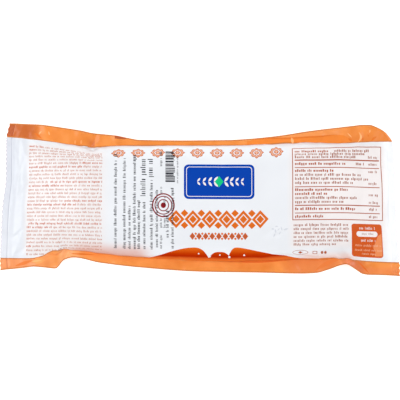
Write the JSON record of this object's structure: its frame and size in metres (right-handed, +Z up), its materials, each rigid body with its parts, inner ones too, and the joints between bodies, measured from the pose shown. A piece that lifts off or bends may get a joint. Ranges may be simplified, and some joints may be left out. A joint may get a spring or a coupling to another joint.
{
  "type": "sealed film pack of smoked provola cheese",
  "caption": "Long sealed film pack round a loaf of smoked provola, with flat crimped ends, a narrow fin of film along each side and one corner rolled under.",
  "frame": {"origin": "middle of the pack's box seen from above, on the surface that it lies on", "axes": "+X along the pack towards the end with the rolled corner, +Y towards the front's upper edge, +Z up, out of the printed front"},
  "size_m": [0.3814, 0.1454, 0.0364],
  "materials": {
    "printed_film": "smooth printed plastic film with a soft shine, white on the front's panel and orange round it"
  },
  "bodies": {
    "root": {"film_pack": "printed_film"}
  },
  "joints": []
}
